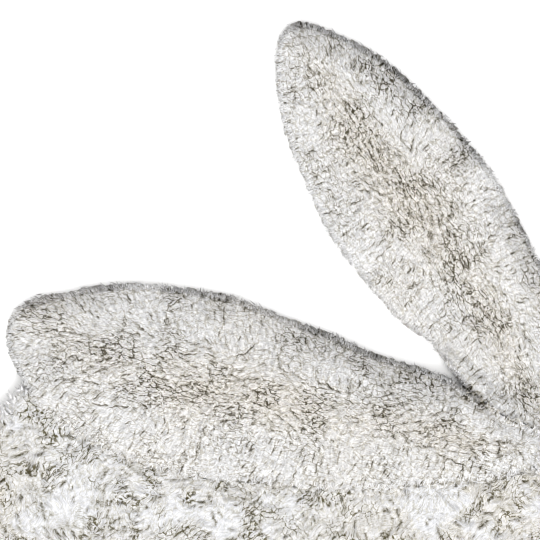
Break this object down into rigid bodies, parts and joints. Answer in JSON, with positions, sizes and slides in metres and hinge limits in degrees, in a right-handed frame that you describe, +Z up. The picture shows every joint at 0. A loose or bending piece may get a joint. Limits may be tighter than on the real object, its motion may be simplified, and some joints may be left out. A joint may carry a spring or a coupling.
{
  "type": "rabbit shaped kids rug",
  "caption": "Rabbit shaped floor rug for a child's room in cream woolly pile: a long pile body panel with short pile ears, the near ear laid back over the body, the far ear thrown up.",
  "frame": {"origin": "on the floor, at the middle of the rug's length and width", "axes": "+X towards the nose, +Y towards the ears, +Z up from the floor through the pile"},
  "size_m": [0.992, 0.8344, 0.037],
  "materials": {
    "long_pile": "long shaggy wool-like pile, off-white tips over beige roots",
    "short_pile": "short dense wool-like pile, warm off-white with beige partings",
    "backing": "plain matt backing cloth"
  },
  "bodies": {
    "root": {"body_panel": "long_pile", "raised_ear": "short_pile", "laid_ear": "short_pile"}
  },
  "joints": []
}
